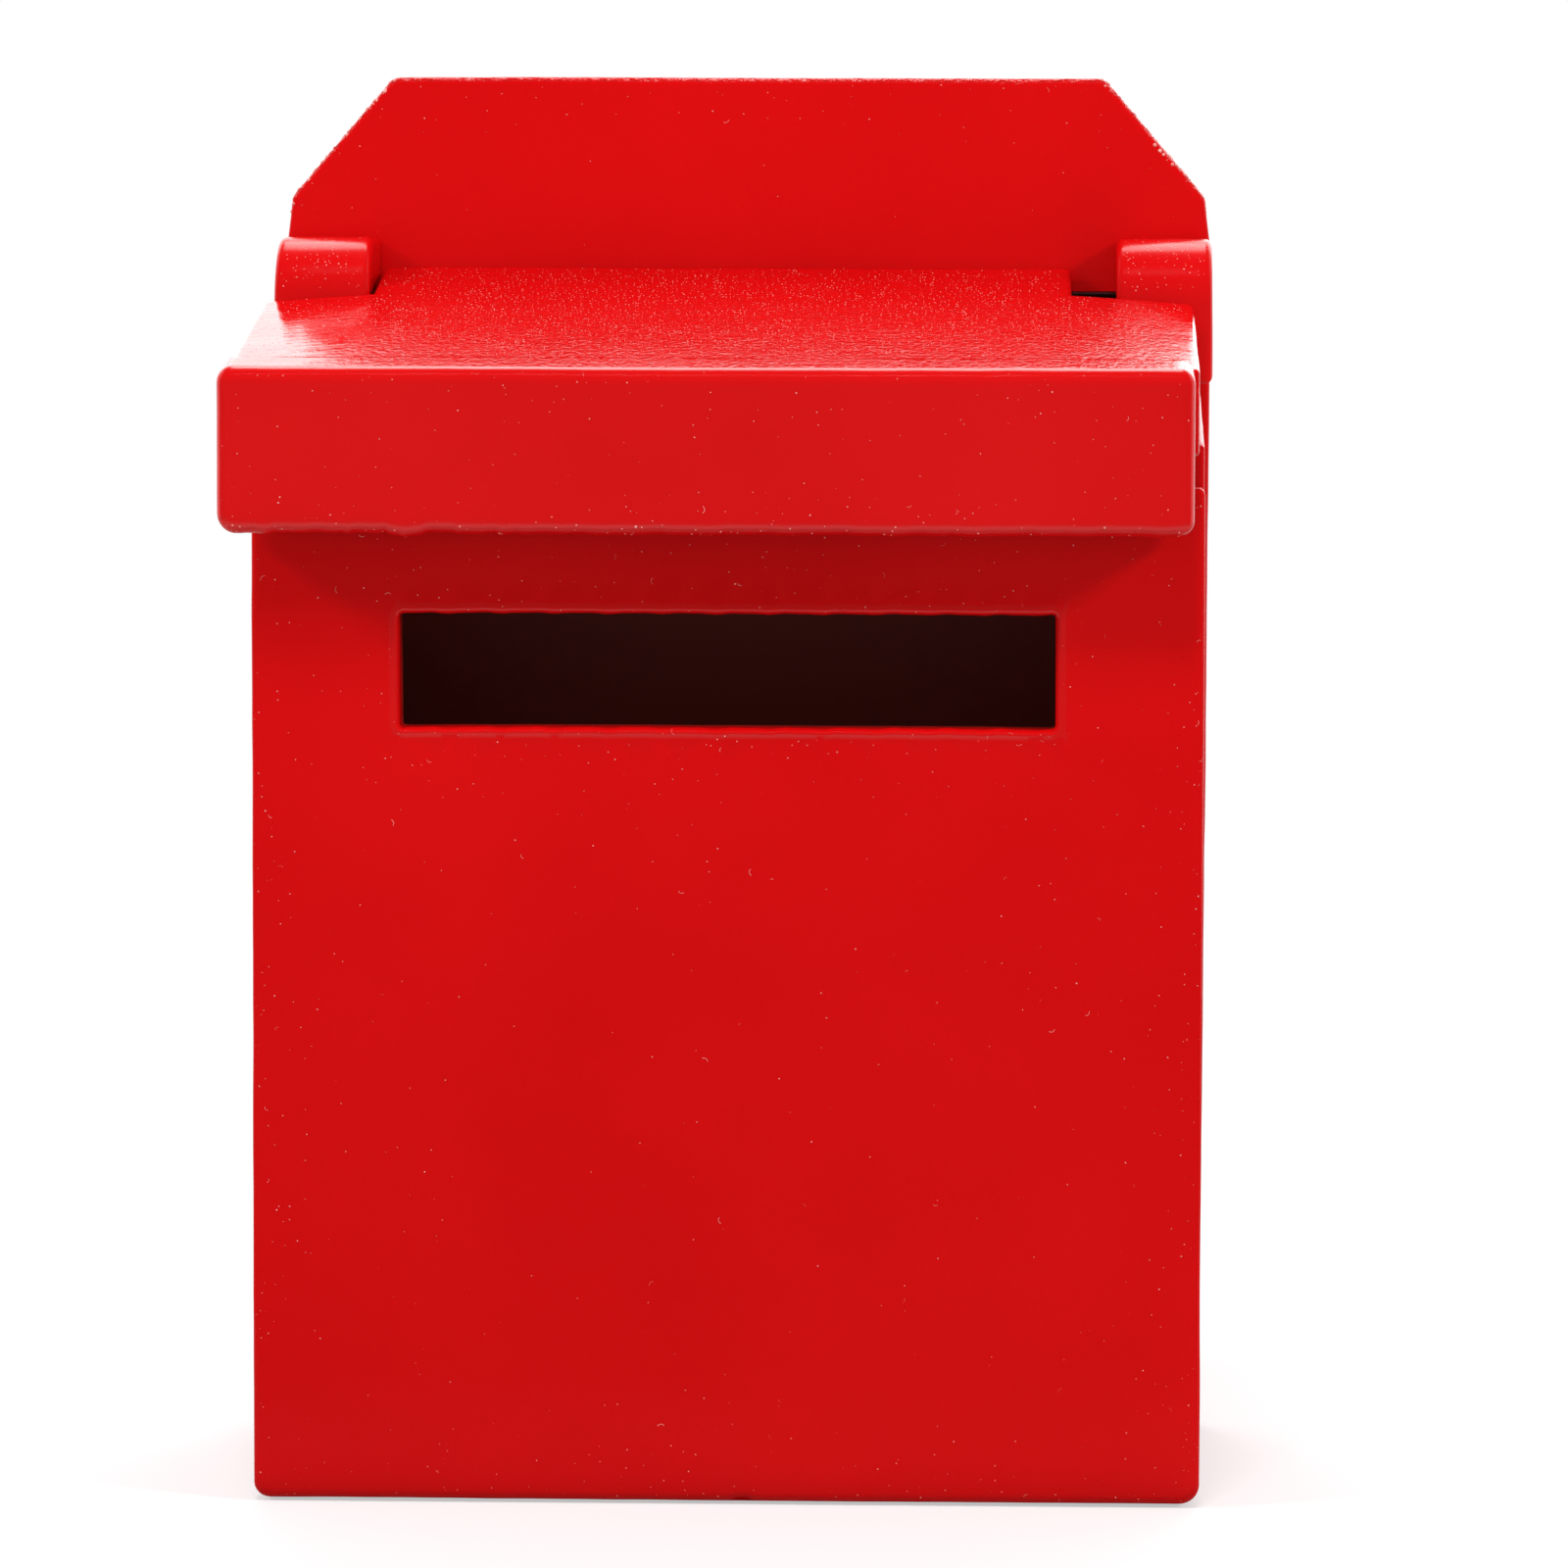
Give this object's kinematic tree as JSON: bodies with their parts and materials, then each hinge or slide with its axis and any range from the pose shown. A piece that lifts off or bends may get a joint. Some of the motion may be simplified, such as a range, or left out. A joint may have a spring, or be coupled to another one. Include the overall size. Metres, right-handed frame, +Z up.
{
  "type": "letter box money box",
  "caption": "Small letter-box shaped money box of painted boards: coin slot in the front, bevelled back board, and a sloping lipped lid that hinges up to empty it.",
  "frame": {"origin": "middle of the carcass's base, on the surface it stands on", "axes": "+Z up, -Y out of the front with the coin slot, +X to the right as seen from the front"},
  "size_m": [0.0626, 0.0403, 0.0905],
  "materials": {
    "red_paint": "satin red paint over sanded board",
    "steel": "bright drawn wire"
  },
  "bodies": {
    "box": {"back_board": "red_paint", "front_panel": "red_paint", "left_side": "red_paint", "right_side": "red_paint", "floor_panel": "red_paint", "left_hinge_block": "red_paint", "right_hinge_block": "red_paint", "left_hinge_pin": "steel", "right_hinge_pin": "steel", "front_panel_pins": "steel", "back_board_pins": "steel", "hinge_block_pins": "steel", "floor_pins": "steel"},
    "lid": {"lid_panel": "red_paint", "lid_fascia": "red_paint", "fascia_pins": "steel"}
  },
  "joints": [
    {"name": "lid_hinge", "type": "hinge", "parent": "box", "child": "lid", "pos_m": [0, 0.00935, 0.07565], "axis": [-1, 0, 0], "range_deg": [0, 108]}
  ]
}
